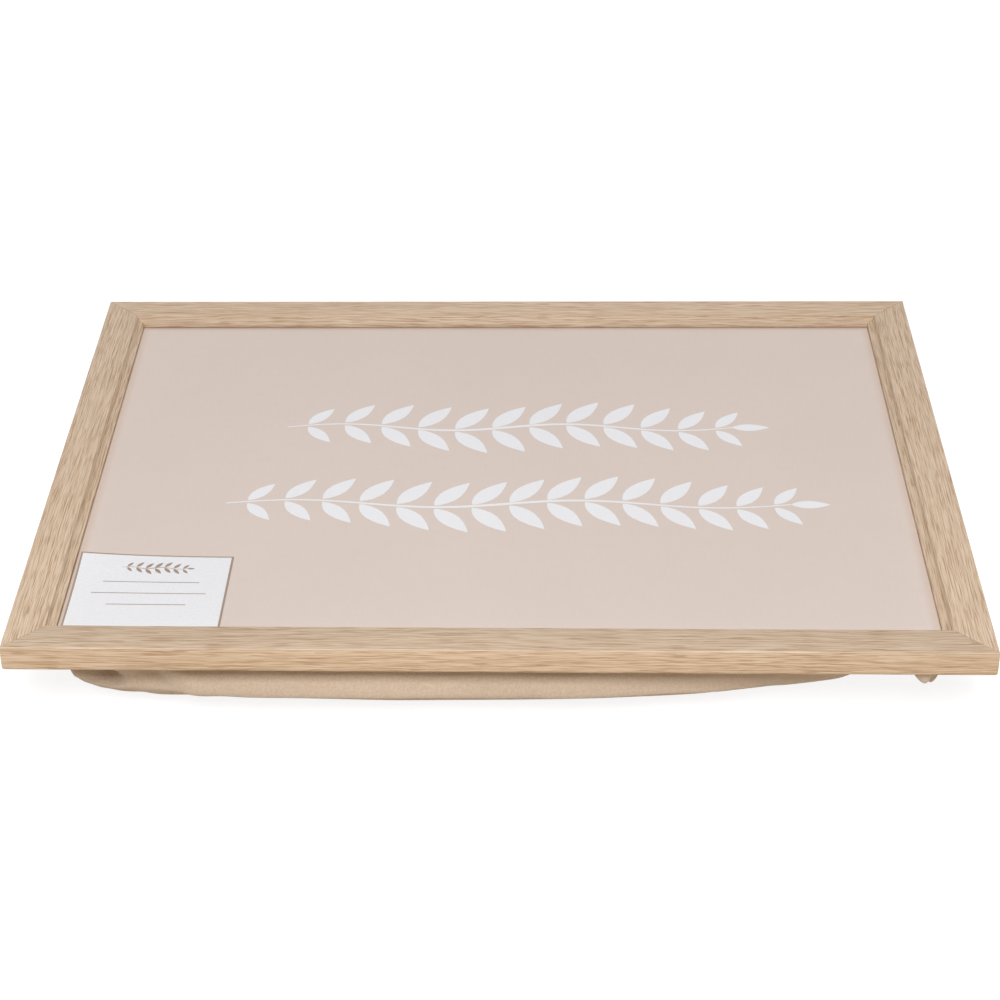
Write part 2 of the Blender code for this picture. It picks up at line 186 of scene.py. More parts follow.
# Printed on the label: a small garland's middle, length, leaf, gap and stem, and the rules' places and
# lengths
LABEL_GARLAND = ((0, 0.0185), 0.030, 0.0052, 0.0038, 0.0005)
LABEL_RULES = ((0.007, 0.044), (-0.002, 0.052), (-0.011, 0.036))
RULE_THICKNESS = 0.0005
RULE_STEPS = 24

# Printed garlands. Each has its middle and its length, and all share the rest.
GARLANDS = (((0.0040, 0.0365), 0.222), ((0.0040, -0.0365), 0.268))
GARLAND_LEAF = 0.0265
GARLAND_GAP = 0.0175
GARLAND_STEM = 0.0019
GARLAND_WAVES = 2.0
GARLAND_WAVE_SHARE = 0.12
GARLAND_LEAF_ANGLE = math.radians(52)
LEAF_WIDTH_SHARE = 0.36
LEAF_STEPS = 20
LEAF_ROOT_POWER = 0.85
LEAF_EDGE_POWER = 0.9
LEAF_FALL_SHARE = 0.35
LAST_LEAF_SHARE = 0.7
STEM_STEPS = 96
STEM_TAPER = 1.2
INK_THICKNESS = 0.00002
INK_LIFT = 0.00001

# Bag
BAG_INSET = 0.0175
BAG_HALF_LENGTH = HALF_LENGTH - BAG_INSET
BAG_HALF_DEPTH = HALF_DEPTH - BAG_INSET
BAG_FLOOR = 0.0003
VOXEL = 0.0045
CLOTH_GROWTH = 0.0009
CORNER_POWER = 9
WALL_FROM_SHARE = 0.55
TINY = 1e-9
WALL_FALL = 0.037

# The wall's section: height, and inset from the rim where the front is tight and where it is slack
WALL_SECTION = (
    (0.0003, 0.0345, 0.0328), (0.002, 0.0292, 0.0263), (0.004, 0.0250, 0.0221), (0.008, 0.0190, 0.0168),
    (0.011, 0.0149, 0.0140), (0.014, 0.0108, 0.0120), (0.017, 0.0066, 0.0103), (0.020, 0.0024, 0.0088),
    (0.022, -0.0004, 0.0080), (0.023, -0.0017, 0.0076), (0.024, -0.0029, 0.0072), (0.025, -0.0036, 0.0069),
    (0.0265, -0.0041, 0.0064), (0.028, -0.0041, 0.0059), (0.030, -0.0037, 0.0052), (0.032, -0.0031, 0.0046),
    (0.034, -0.0023, 0.0040), (0.036, -0.0014, 0.0033), (0.038, -0.0006, 0.0027), (0.040, 0.0, 0.0021),
    (0.042, 0.0004, 0.0015), (0.0472, 0.0, 0.0),
)

# Tightness along the front: place and share
FRONT_TIGHTNESS = (
    (-0.196, 0.0), (-0.180, 0.0), (-0.160, 0.36), (-0.140, 0.66), (-0.125, 0.90), (-0.110, 1.0), (0.030, 1.0),
    (0.055, 0.85), (0.080, 0.66), (0.100, 0.62), (0.125, 0.42), (0.150, 0.06), (0.165, 0.0),
)

# Crease along the lower front edge: height and how far it stands out
FRONT_CREASE = (
    (0.0190, 0.0), (0.0205, 0.0004), (0.0215, 0.0008), (0.0225, 0.0013), (0.0235, 0.0019), (0.0243, 0.0020),
    (0.0255, 0.0015), (0.0270, 0.0008), (0.0290, 0.0),
)

# How the bag's wall is worked: where its parts begin and fade, and how it swells, calms and puckers
FRONT_FROM = 0.08
FRONT_FADE = 0.04
PINNED_TOP = 0.002
PIN_FADE = 0.006
SIM_FRAMES = 20
MOVE_CAP = 0.010
DRIFT_STEPS = 60
DRIFT_KEPT_SHARE = 0.25
RIM_FROM = 0.0460
RIM_FADE = 0.0080
CALM_FROM = 0.10
CALM_FADE = 0.025
CALM_REACH = 0.150
CALM_SHARE = 0.7
STAPLE_SPACING = 0.05
PUCKER = 0.0009
PUCKER_FROM = 0.030
PUCKER_FADE = 0.012
PUCKER_TO = 0.0455
PUCKER_TOP_FADE = 0.004

# How the bag's cloth swells, and the table that it swells on
CLOTH_SETTINGS = {
    "quality": 6,
    "mass": 0.15,
    "tension_stiffness": 40,
    "compression_stiffness": 40,
    "shear_stiffness": 10,
    "bending_stiffness": 0.5,
    "use_pressure": True,
    "uniform_pressure_force": 14.0,
    "shrink_min": -0.012,
    "vertex_group_mass": "pins",
}
CLOTH_GAP = 0.0005
TABLE_REACH = 0.4
TABLE_FRICTION = 20

# Pushes on the settled bag: centre, reach and move
BAG_PRESSES = (
    ((0.02, -0.130, 0.004), (0.13, 0.05, 0.035), (0, 0.0008, 0.0001)),
    ((-0.187, -0.140, 0.034), (0.035, 0.035, 0.04), (-0.0030, -0.0012, -0.0003)),
    ((0.184, -0.140, 0.034), (0.038, 0.04, 0.03), (0, 0.003, 0.0050)),
)

# Folds that run down from the rim at the front left: start, end, width and height
FRONT_LEFT_FOLDS = (
    ((-0.1835, -0.147, 0.041), (-0.1700, -0.142, 0.0215), 0.0100, -0.0190),
    ((-0.1700, -0.148, 0.043), (-0.1645, -0.141, 0.0200), 0.0085, 0.0036),
    ((-0.157, -0.148, 0.041), (-0.149, -0.142, 0.0260), 0.0070, -0.0022),
    ((-0.150, -0.148, 0.043), (-0.124, -0.140, 0.0185), 0.0105, 0.0040),
)

# Gathers at the other corners: distance from the corner and height, then how all of them run
GATHERS = ((0.014, 0.0024), (0.027, -0.0028), (0.041, 0.0021), (0.058, -0.0015))
GATHER_TOP = 0.043
GATHER_END = 0.018
GATHER_WIDTH = 0.008
GATHER_SPREAD = 1.15
GATHER_RUN = 0.010

# Lobes of the corner tuck: place, half width, drop, half thickness and lean
TUCK_LOBES = (
    (0.1843, -0.1553, 0.0049, 0.0090, 0.0046, 0.0019),
    (0.1902, -0.1385, 0.0068, 0.0203, 0.0080, 0.0016),
)
TUCK_STEPS = (32, 24)
TUCK_NARROWING = 0.35
TUCK_THINNING = 0.3
TUCK_TOP_GAP = 0.001
TUCK_TOP_SHARE = 0.02
TUCK_SMOOTH_ANGLE = 60.0

# Hem, and its section: inset, height and how far each point follows the puffs
HEM_INSET = HALF_LENGTH - COVER_HIGH.x
HEM_CORNER_RADIUS = 0.012
HEM_INNER_RADIUS = 0.006
HEM_STEPS = 576
HEM_STRAIGHT_SHARE = 0.9
HEM_PUFF = 0.0011
HEM_SMOOTH_ANGLE = 50.0
HEM_SECTION = (
    (0.0081, 0.0472, 0.0), (0.0120, 0.0473, 0.0), (0.0165, 0.0473, 0.0), (0.0224, 0.0470, 0.0),
    (0.0224, 0.0440, 0.3), (0.0182, 0.0452, 0.8), (0.0165, 0.0462, 1.0), (0.0146, 0.0464, 1.0),
    (0.0143, 0.0460, 1.0), (0.0128, 0.0459, 1.0), (0.0104, 0.0459, 0.9), (0.0085, 0.0462, 0.5),
    (0.0079, 0.0467, 0.1),
)

# Lining and fasteners
LINING_RISE = 0.0015
LINING_CELLS = (60, 46)
WIRE_EDGE = 0.00012
WIRE_EDGE_STEPS = 2
WIRE_MERGE_REACH = 0.000001
WIRE_FLAT_ANGLE = math.radians(1)
WIRE_SHARP_ANGLE = math.radians(60)

# Camera, fitted to the frame's corners in the photograph
CAMERA_PLACE = Vector((0.01575, -1.03669, 0.67063))
CAMERA_RIGHT = Vector((0.99892, 0.04102, -0.02183))
CAMERA_DOWN = Vector((0.00284, -0.52296, -0.85235))
CAMERA_LENS = 88.995
CAMERA_SENSOR = 36.0
CAMERA_SHIFT = 0.0826

# Lamps: name, place, size, power and whether shiny surfaces show them
LAMPS = (
    ("key_lamp", (0.0, -1.635, 1.50), 0.42, 37.0, True),
    ("top_lamp", (0.0, 1.87, 4.64), 2.4, 77.0, True),
    ("back_lamp", (0.0, 3.30, 2.60), 1.6, 28.0, False),
)
LAMP_TARGET = Vector((0, 0, 0.03))

# Floor and world
FLOOR_REACH = 30.0
FLOOR_GLOW = 0.2
FLOOR_PALE = 0.68
WORLD_FILL = 0.04


def srgb(red, green, blue):
    """A colour given as it is seen on screen, 0 to 255, as linear light."""
    linear = []
    for level in (red, green, blue):
        share = level / 255
        linear.append(share / 12.92 if share <= 0.04045 else ((share + 0.055) / 1.055) ** 2.4)
    return (*linear, 1.0)


# Colours, as they are seen on screen
OAK_LIGHT = srgb(221, 199, 176)
OAK_MIDDLE = srgb(210, 185, 158)
OAK_DARK = srgb(173, 141, 110)
# Painted highlight along the rails' outer top edge
EDGE_HIGHLIGHT = srgb(236, 217, 196)
MDF_LIGHT = srgb(186, 156, 120)
MDF_DARK = srgb(150, 118, 84)
MDF_LUMP = srgb(128, 98, 68)
PANEL_PINK = srgb(220, 205, 196)
INK_WHITE = srgb(238, 238, 241)
CARD_LIGHT = srgb(237, 237, 239)
CARD_DARK = srgb(229, 229, 232)
TAUPE = srgb(158, 137, 121)
BAG_LIGHT = srgb(217, 199, 181)
BAG_DARK = srgb(192, 171, 149)
HEM_LIGHT = srgb(212, 188, 162)
HEM_DARK = srgb(182, 154, 124)
LINING_LIGHT = srgb(222, 219, 212)
LINING_DARK = srgb(196, 192, 184)
STEEL_LIGHT = srgb(208, 208, 207)
STEEL_DARK = srgb(172, 173, 175)

# Tints, as shares of red, green and blue light
PLAIN_WHITE = (1, 1, 1, 1)
# Painted shade on the panel beside the rails' lips
LIP_SHADE_TINT = (0.88, 0.83, 0.77, 1.0)
HANDLED_TINT = (0.80, 0.76, 0.72, 1.0)
FLOOR_WARM = (0.88, 0.77, 0.63, 1.0)
FLOOR_PLAIN = (0.80, 0.80, 0.80, 1.0)


# Shader building

def connect(tree, node, inputs):
    """Set or link a node's inputs."""
    for name, value in inputs.items():
        if isinstance(value, bpy.types.NodeSocket):
            tree.links.new(value, node.inputs[name])
        else:
            node.inputs[name].default_value = value


def put(tree, kind, inputs=None, **settings):
    """Add a shader node of a kind, named without its prefix, then set or link its inputs."""
    node = tree.nodes.new(f"ShaderNode{kind}")
    for name, value in settings.items():
        setattr(node, name, value)
    connect(tree, node, inputs or {})
    return node


def calc(tree, operation, a, b=0.0):
    """One sum on two values."""
    return put(tree, "Math", {0: a, 1: b}, operation=operation).outputs[0]


def times(tree, a, b):
    """The product of two values."""
    return calc(tree, "MULTIPLY", a, b)


def weighed(tree, *parts):
    """The sum of values, each times its weight."""
    products = [times(tree, value, weight) for value, weight in parts]
    total = products[0]
    for product in products[1:]:
        total = calc(tree, "ADD", total, product)
    return total


def spread(tree, value, low=0.0, high=1.0, to_low=0.0, to_high=1.0):
    """Stretch the part of a value between low and high to another range."""
    inputs = {"Value": value, "From Min": low, "From Max": high, "To Min": to_low, "To Max": to_high}
    return put(tree, "MapRange", inputs).outputs["Result"]


def tint(tree, share, a, b, mode="MIX"):
    """Mix two colours."""
    return put(tree, "Mix", {0: share, 6: a, 7: b}, data_type="RGBA", blend_type=mode).outputs[2]


def stretched(tree, vector, x, y, z=1.0):
    """Scale a place along its three axes."""
    return put(tree, "Mapping", {"Vector": vector, "Scale": (x, y, z)}).outputs[0]


def cloudy(tree, vector, scale, detail=2.0, roughness=0.5):
    """Smooth noise from 0 to 1, with one scale or a scale along each axis."""
    if isinstance(scale, tuple):
        vector, scale = stretched(tree, vector, *scale), 1.0
    inputs = {"Vector": vector, "Scale": scale, "Detail": detail, "Roughness": roughness}
    return put(tree, "TexNoise", inputs).outputs[0]


def new_group(name, inputs, outputs):
    """A shader group with named sockets. Returns the group, its inputs and its output node."""
    group = bpy.data.node_groups.new(name, "ShaderNodeTree")
    for label, kind, value in inputs:
        socket = group.interface.new_socket(label, in_out="INPUT", socket_type=f"NodeSocket{kind}")
        if value is not None:
            socket.default_value = value
    for label, kind in outputs:
        group.interface.new_socket(label, in_out="OUTPUT", socket_type=f"NodeSocket{kind}")
    entry = group.nodes.new("NodeGroupInput")
    leave = group.nodes.new("NodeGroupOutput")
    return group, entry.outputs, leave


def use(tree, group, inputs):
    """Place a group in a material."""
    return put(tree, "Group", inputs, node_tree=group).outputs


def new_material(name, **constants):
    """A material with its Principled shader. Constants are set on the shader's own sockets."""
    material = bpy.data.materials.new(name)
    material.use_nodes = True
    shader = material.node_tree.nodes["Principled BSDF"]
    for label, value in constants.items():
        shader.inputs[label.replace("_", " ")].default_value = value
    return material, material.node_tree, shader


def object_place(tree):
    """The place on the object, in metres."""
    return put(tree, "TexCoord").outputs["Object"]


def mapped_place(tree, name):
    """The place on a piece's own map, in metres."""
    return put(tree, "UVMap", uv_map=name).outputs[0]


def grain_group():
    """Oak grain that runs along X: fibres, broad bands and short dark pores."""
    group, given, result = new_group(
        "oak_grain",
        [("Place", "Vector", None), ("Light", "Color", PLAIN_WHITE), ("Middle", "Color", PLAIN_WHITE),
         ("Dark", "Color", (0, 0, 0, 1))],
        [("Color", "Color"), ("Height", "Float"), ("Pores", "Float")],
    )
    wander = calc(group, "SUBTRACT", cloudy(group, given["Place"], GRAIN_WANDER, detail=1.0), 0.5)
    ripple = calc(group, "SUBTRACT", cloudy(group, given["Place"], GRAIN_RIPPLE), 0.5)
    shift = weighed(group, (wander, WANDER_REACH), (ripple, RIPPLE_REACH))
    offset = put(group, "CombineXYZ", {"Y": shift}).outputs[0]
    place = put(group, "VectorMath", {0: given["Place"], 1: offset}, operation="ADD").outputs[0]
    fibres = cloudy(group, place, GRAIN_FIBRES, detail=3.0, roughness=0.62)
    hairs = cloudy(group, place, GRAIN_HAIRS, detail=1.0)
    bands = cloudy(group, place, GRAIN_BANDS, detail=1.0)
    flecks = cloudy(group, place, GRAIN_FLECKS, detail=0.0)
    pores = spread(group, flecks, low=0.63, high=0.70)
    tone = weighed(group, (fibres, FIBRE_SHARE), (hairs, HAIR_SHARE), (bands, BAND_SHARE))
    colour = tint(group, spread(group, tone, low=0.50, high=0.60), given["Middle"], given["Light"])
    colour = tint(group, spread(group, tone, low=0.50, high=0.385), colour, given["Dark"])
    colour = tint(group, times(group, pores, PORE_SHARE), colour, given["Dark"])
    height = calc(group, "SUBTRACT", tone, times(group, pores, PORE_DEPTH))
    connect(group, result, {"Color": colour, "Height": height, "Pores": pores})
    return group


def weave_group():
    """Plain weave of threads along X and Y, with uneven yarn."""
    group, given, result = new_group(
        "plain_weave",
        [("Place", "Vector", None), ("Threads", "Float", BAG_THREADS), ("Unevenness", "Float", 0.0)],
        [("Height", "Float"), ("Shade", "Float")],
    )
    wobble = cloudy(group, given["Place"], YARN_WOBBLE_SCALE)
    axes = put(group, "SeparateXYZ", {0: given["Place"]}).outputs
    turns = []
    for axis in (0, 1):
        turn = times(group, axes[axis], times(group, given["Threads"], math.pi))
        turn = calc(group, "ADD", turn, times(group, wobble, YARN_WOBBLE))
        turns.append(calc(group, "SINE", turn))
    over = times(group, times(group, *turns), 0.5)
    warp = times(group, calc(group, "ABSOLUTE", turns[0]), calc(group, "ADD", 0.5, over))
    weft = times(group, calc(group, "ABSOLUTE", turns[1]), calc(group, "SUBTRACT", 0.5, over))
    height = calc(group, "MAXIMUM", warp, weft)
    slub_x = cloudy(group, given["Place"], (SLUB_LONG, SLUB_FINE))
    slub_y = cloudy(group, given["Place"], (SLUB_FINE, SLUB_LONG))
    slub = calc(group, "ADD", slub_x, calc(group, "SUBTRACT", slub_y, 1.0))
    slub = times(group, slub, given["Unevenness"])
    shade = calc(group, "ADD", times(group, height, 0.5), slub)
    connect(group, result, {"Height": height, "Shade": shade})
    return group


def handling_group():
    """Faint uneven tone from handling, the same all over an object."""
    group, given, result = new_group(
        "handling",
        [("Place", "Vector", None), ("Color", "Color", PLAIN_WHITE), ("Amount", "Float", 0.0)],
        [("Color", "Color"), ("Mask", "Float")],
    )
    broad = cloudy(group, given["Place"], HANDLING_BROAD, detail=3.0, roughness=0.55)
    fine = cloudy(group, given["Place"], HANDLING_FINE, detail=3.0, roughness=0.6)
    both = calc(group, "ADD", broad, times(group, fine, HANDLING_FINE_SHARE))
    mask = spread(group, both, low=0.5, high=0.85)
    darker = tint(group, 1.0, given["Color"], HANDLED_TINT, "MULTIPLY")
    share = times(group, mask, given["Amount"])
    connect(group, result, {"Color": tint(group, share, given["Color"], darker), "Mask": mask})
    return group


GRAIN = grain_group()
WEAVE = weave_group()
HANDLING = handling_group()


def wire_surface(tree, shader, colour, roughness, height, wear, relief, strength=0.5):
    """Give a shader its colour as handled, its roughness and its relief, as deep as given in metres."""
    handled = use(tree, HANDLING, {"Place": object_place(tree), "Color": colour, "Amount": wear})
    bump = {"Height": height, "Distance": relief, "Strength": strength}
    normal = put(tree, "Bump", bump).outputs[0]
    connect(tree, shader, {"Base Color": handled["Color"], "Roughness": roughness, "Normal": normal})


def painted_edge_highlight(tree, place):
    """1 in places along the rails' outer top edge, where a highlight is painted on the foil."""
    across = put(tree, "SeparateXYZ", {0: place}).outputs[1]
    line = spread(tree, calc(tree, "ABSOLUTE", across), high=EDGE_HIGHLIGHT_REACH, to_low=1.0, to_high=0.0)
    patches = spread(tree, cloudy(tree, place, EDGE_HIGHLIGHT_PATCHES), low=0.42, high=0.60)
    return times(tree, line, patches)


def oak_foil_material():
    """Oak-effect foil: printed grain with embossed pores under a satin film."""
    material, tree, shader = new_material(
        "oak_foil", Specular_IOR_Level=0.25, Coat_Weight=0.03, Coat_Roughness=0.35)
    place = mapped_place(tree, "foil")
    grain = use(tree, GRAIN, {"Place": place, "Light": OAK_LIGHT, "Middle": OAK_MIDDLE, "Dark": OAK_DARK})
    # Painted highlight in patches along the outer top edge
    colour = tint(tree, painted_edge_highlight(tree, place), grain["Color"], EDGE_HIGHLIGHT)
    roughness = spread(tree, grain["Pores"], to_low=0.46, to_high=0.68)
    wire_surface(tree, shader, colour, roughness, grain["Height"], wear=0.25, relief=0.00004)
    return material


def raw_mdf_material():
    """Bare fibreboard: fine brown fibres pressed flat."""
    material, tree, shader = new_material("raw_mdf", Specular_IOR_Level=0.2)
    place = object_place(tree)
    fibres = cloudy(tree, place, MDF_FIBRES, detail=3.0, roughness=0.65)
    colour = tint(tree, spread(tree, fibres, low=0.35, high=0.65), MDF_DARK, MDF_LIGHT)
    lumps = spread(tree, cloudy(tree, place, MDF_LUMPS), low=0.5, high=0.75)
    colour = tint(tree, times(tree, lumps, MDF_LUMP_SHARE), colour, MDF_LUMP)
    roughness = spread(tree, fibres, to_low=0.78, to_high=0.95)
    wire_surface(tree, shader, colour, roughness, fibres, wear=0.4, relief=0.00012, strength=0.6)
    return material


def painted_lip_shade(tree, place):
    """1 beside the rails' lips, fading to 0 over the panel, where shade is painted on the print."""
    axes = put(tree, "SeparateXYZ", {0: place}).outputs
    gaps = []
    for axis, half in ((0, HALF_LENGTH), (1, HALF_DEPTH)):
        gaps.append(calc(tree, "SUBTRACT", half - LIP_INSET, calc(tree, "ABSOLUTE", axes[axis])))
    return spread(tree, calc(tree, "MINIMUM", *gaps), high=LIP_SHADE_REACH, to_low=1.0, to_high=0.0)


def printed_material(name, colour, smoothest, roughest, framed=False):
    """Matt print on paper with a fine linen emboss. A framed print has painted shade along the rails' lips.
    """
    material, tree, shader = new_material(name, Specular_IOR_Level=0.3)
    place = object_place(tree)
    linen = use(tree, WEAVE, {"Place": place, "Threads": LINEN_THREADS, "Unevenness": 0.9})
    shade = spread(tree, linen["Shade"], low=-0.2, high=0.7, to_low=0.965, to_high=1.02)
    grey = put(tree, "CombineXYZ", {0: shade, 1: shade, 2: shade}).outputs[0]
    toned = tint(tree, 1.0, colour, grey, "MULTIPLY")
    if framed:
        # Painted shade along the rails' lips, darker near them
        toned = tint(tree, painted_lip_shade(tree, place), toned, LIP_SHADE_TINT, "MULTIPLY")
    roughness = spread(tree, linen["Height"], to_low=smoothest, to_high=roughest)
    wire_surface(tree, shader, toned, roughness, linen["Height"], wear=0.10, relief=0.00004)
    return material


def label_material():
    """White card with a thin taupe line printed round its edge."""
    material, tree, shader = new_material("label_print", Specular_IOR_Level=0.35)
    axes = put(tree, "SeparateXYZ", {0: mapped_place(tree, "card")}).outputs
    border = calc(tree, "LESS_THAN", calc(tree, "MINIMUM", axes[0], axes[1]), LABEL_BORDER)
    fibres = cloudy(tree, object_place(tree), CARD_FIBRES, detail=3.0, roughness=0.6)
    white = tint(tree, spread(tree, fibres, low=0.3, high=0.7), CARD_DARK, CARD_LIGHT)
    colour = tint(tree, border, white, TAUPE)
    roughness = spread(tree, fibres, to_low=0.42, to_high=0.55)
    wire_surface(tree, shader, colour, roughness, fibres, wear=0.08, relief=0.00003, strength=0.4)
    return material


def cloth_material(name, colour, dark, threads, sheen, map_name=None):
    """Woven polyester. Its threads follow the piece's own map where it has one."""
    material, tree, shader = new_material(
        name, Specular_IOR_Level=0.2, Sheen_Weight=sheen, Sheen_Roughness=0.5)
    place = object_place(tree)
    along = mapped_place(tree, map_name) if map_name else place
    weave = use(tree, WEAVE, {"Place": along, "Threads": threads, "Unevenness": 0.12})
    clouds = cloudy(tree, place, CLOTH_MOTTLE, detail=3.0, roughness=0.65)
    mottle = spread(tree, clouds, low=0.3, high=0.7, to_high=0.65)
    threaded = spread(tree, weave["Shade"], high=0.5, to_high=0.35)
    toned = tint(tree, calc(tree, "ADD", mottle, threaded), dark, colour)
    roughness = spread(tree, weave["Height"], to_low=0.95, to_high=0.8)
    wire_surface(tree, shader, toned, roughness, weave["Height"], wear=0.3, relief=0.00012, strength=0.6)
    return material


def steel_material():
    """Zinc-plated wire and strip, with fine drawing marks and dull patches."""
    material, tree, shader = new_material("zinc_steel", Metallic=1.0)
    place = object_place(tree)
    marks = cloudy(tree, place, STEEL_MARKS, detail=3.0)
    dull = cloudy(tree, place, STEEL_DULL)
    colour = tint(tree, dull, STEEL_DARK, STEEL_LIGHT)
    roughness = spread(tree, dull, low=0.3, high=0.7, to_low=0.24, to_high=0.46)
    wire_surface(tree, shader, colour, roughness, marks, wear=0.5, relief=0.00002)
    return material


OAK_FOIL = oak_foil_material()
RAW_MDF = raw_mdf_material()
PANEL_PRINT = printed_material("panel_print", PANEL_PINK, smoothest=0.58, roughest=0.68, framed=True)
WHITE_INK = printed_material("white_ink", INK_WHITE, smoothest=0.51, roughest=0.61)
LABEL_PRINT = label_material()
LABEL_INK = printed_material("label_ink", TAUPE, smoothest=0.46, roughest=0.56)
BAG_CLOTH = cloth_material("bag_cloth", BAG_LIGHT, BAG_DARK, BAG_THREADS, sheen=0.45, map_name="cloth")
HEM_CLOTH = cloth_material("hem_cloth", HEM_LIGHT, HEM_DARK, BAG_THREADS, sheen=0.15)
LINING_CLOTH = cloth_material("lining_cloth", LINING_LIGHT, LINING_DARK, LINING_THREADS, sheen=0.1)
STEEL = steel_material()


# Mesh helpers

def object_from(name, bm):
    """Put a bmesh in the scene as an object."""
    mesh = bpy.data.meshes.new(name)
    bm.to_mesh(mesh)
    bm.free()
    made = bpy.data.objects.new(name, mesh)
    bpy.context.scene.collection.objects.link(made)
    return made


def finish_piece(name, bm, materials, replaced=(), smooth=SMOOTH_ANGLE):
    """Turn a bmesh into a piece of the tray."""
    piece = object_from(name, bm)
    for material in materials:
        piece.data.materials.append(material)
    if smooth:
        piece.data.shade_smooth()
        piece.data.set_sharp_from_angle(angle=math.radians(smooth))
    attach(piece, "root")
    if replaced:
        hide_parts(*replaced)
    return piece


def face_out(bm):
    """Turn all faces outwards."""
    bmesh.ops.recalc_face_normals(bm, faces=bm.faces)


def add_grid(bm, cells_x, cells_y, size=0.5):
    """Add a flat grid round the origin and return its points."""
    return bmesh.ops.create_grid(bm, x_segments=cells_x, y_segments=cells_y, size=size)["verts"]


def side_matrix(side):
    """From a side's own axes, X along the rail and Y into the tray, to the tray's."""
    _, distance, turn = SIDES[side]
    return Matrix.Rotation(turn, 4, "Z") @ Matrix.Translation((0, -distance, 0))


def edges_at(bm, inward, height):
    """The long edges of a rail at one point of its section."""
    found = []
    for edge in bm.edges:
        if all(abs(v.co.y - inward) < SAME_EDGE and abs(v.co.z - height) < SAME_EDGE for v in edge.verts):
            found.append(edge)
    return found


def round_edges(bm, edges, radius, segments):
    """Round the given edges."""
    bmesh.ops.bevel(
        bm, geom=edges, offset=radius, segments=segments, profile=0.5, affect="EDGES", material=-1)


def around_rail(inward, height):
    """The distance round the rail's section from its outer top edge, where the foil lies flat."""
    below = RAIL_TOP - height
    if height < RAIL_BOTTOM + SAME_HEIGHT and inward > BOTTOM_EDGE_RADIUS:
        return BOTTOM_EDGE_RADIUS - below - (inward - BOTTOM_EDGE_RADIUS)
    if inward > RAIL_FLAT_WIDTH:
        return RAIL_FLAT_WIDTH + math.hypot(inward - RAIL_FLAT_WIDTH, below)
    return inward - below


def make_rail(side):
    """A mitred rail wrapped in foil, with bare board where the foil ends underneath."""
    half, _, _ = SIDES[side]
    bm = bmesh.new()
    face = bm.faces.new([bm.verts.new((-half, inward, height)) for inward, height in RAIL_SECTION])
    for item in bmesh.ops.extrude_face_region(bm, geom=[face])["geom"]:
        if isinstance(item, bmesh.types.BMVert):
            item.co.x = half
    face_out(bm)
    for inward, height, radius, steps in RAIL_ROUNDS:
        round_edges(bm, edges_at(bm, inward, height), radius, steps)
    for vert in bm.verts:
        vert.co.x = math.copysign(half - vert.co.y - MITRE_GAP, vert.co.x)
    ends = [edge for edge in bm.edges if edge.verts[0].co.x * edge.verts[1].co.x > 0]
    round_edges(bm, ends, MITRE_EDGE, MITRE_EDGE_STEPS)
    face_out(bm)
    paint_rail(bm, side)
    bmesh.ops.transform(bm, matrix=side_matrix(side), verts=bm.verts)
    skins = [OAK_FOIL, RAW_MDF]
    return finish_piece(
        f"{side}_rail_foiled", bm, skins, [f"{side}_rail"], RAIL_SMOOTH_ANGLE)


def paint_rail(bm, side):
    """Lay the foil's map on a rail, and leave its underside, rebate and ends bare."""
    start = FOIL_MAP_STEP * list(SIDES).index(side)
    layer = bm.loops.layers.uv.new("foil")
    for face in bm.faces:
        middle = face.calc_center_median()
        under = face.normal.z < -BARE_FACING and middle.y > FOIL_TURN_UNDER
        rebate = face.normal.y > BARE_FACING and middle.y < REBATE_INSET + LIP_EDGE_RADIUS
        end = abs(face.normal.x) > END_FACING
        face.material_index = 1 if under or rebate or end else 0
        for loop in face.loops:
            place = loop.vert.co
            loop[layer].uv = (place.x + start, around_rail(place.y, place.z))


def card_lift(x, y):
    """How far the card's back left corner curls up. Places are shares of the card from its middle."""
    away = max(0.0, 0.5 - x / LABEL_LENGTH) * max(0.0, 0.5 + y / LABEL_DEPTH)
    return LABEL_CURL * away ** LABEL_CURL_POWER


def on_label(bm, height):
    """Lay flat work drawn round the origin on the label card, following its curl."""
    for vert in bm.verts:
        vert.co.z += card_lift(vert.co.x, vert.co.y) + height
    middle = (LABEL_LOW + LABEL_HIGH) / 2
    shift = Matrix.Translation(Vector((middle.x, middle.y, LABEL_LOW.z)) + LABEL_SHIFT)
    place = shift @ Matrix.Rotation(LABEL_TURN, 4, "Z")
    bmesh.ops.transform(bm, matrix=place, verts=bm.verts)


def make_label():
    """The label card, a little curled at its back left corner."""
    bm = bmesh.new()
    add_grid(bm, *LABEL_CELLS)
    bmesh.ops.scale(bm, vec=(LABEL_LENGTH, LABEL_DEPTH, 1), verts=bm.verts)
    layer = bm.loops.layers.uv.new("card")
    for face in bm.faces:
        for loop in face.loops:
            place = loop.vert.co
            loop[layer].uv = (LABEL_LENGTH / 2 - abs(place.x), LABEL_DEPTH / 2 - abs(place.y))
    thicken(bm, LABEL_THICKNESS)
    on_label(bm, 0.0)
    return finish_piece("label_card_printed", bm, [LABEL_PRINT], ["label_card"])


def thicken(bm, thickness):
    """Give flat work a thickness, upwards."""
    faces = list(bm.faces)
    made = bmesh.ops.extrude_face_region(bm, geom=faces)["geom"]
    top = [item for item in made if isinstance(item, bmesh.types.BMVert)]
    bmesh.ops.translate(bm, vec=(0, 0, thickness), verts=top)
    bmesh.ops.reverse_faces(bm, faces=[face for face in faces if face.is_valid])
    face_out(bm)


